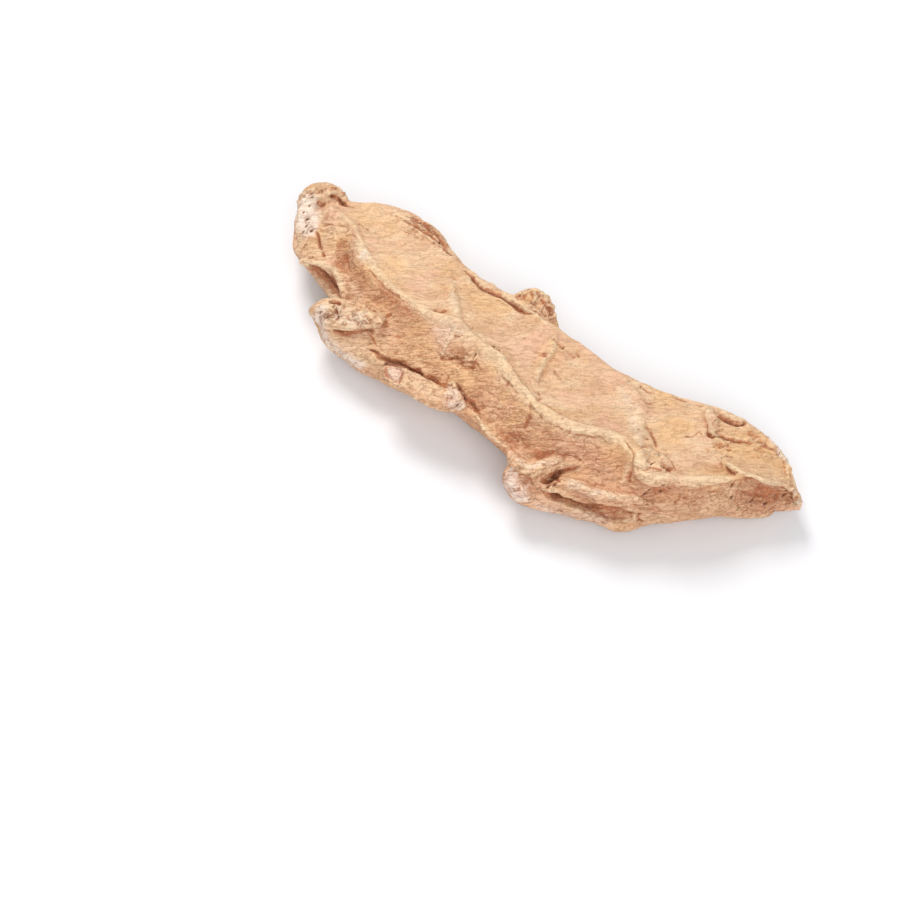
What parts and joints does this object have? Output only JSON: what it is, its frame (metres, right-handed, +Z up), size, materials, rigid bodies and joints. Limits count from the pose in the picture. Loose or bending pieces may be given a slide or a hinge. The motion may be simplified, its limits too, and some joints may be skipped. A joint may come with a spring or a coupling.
{
  "type": "dried ginger root",
  "caption": "Whole dried ginger rhizome: a flattened, ridged root with node rings, a knuckled side lobe, a folded bud lobe and an oblique end scar.",
  "frame": {"origin": "on the surface the root rests on, under the middle of its box", "axes": "+X along the root to its thin broken end, +Y towards its plain far margin, +Z up through the crest ridge"},
  "size_m": [0.087, 0.0315, 0.0136],
  "materials": {
    "ginger_skin": "dry matt plant skin, pale tan on ridges and scars, orange-brown in hollows"
  },
  "bodies": {
    "root": {"rhizome": "ginger_skin"}
  },
  "joints": []
}
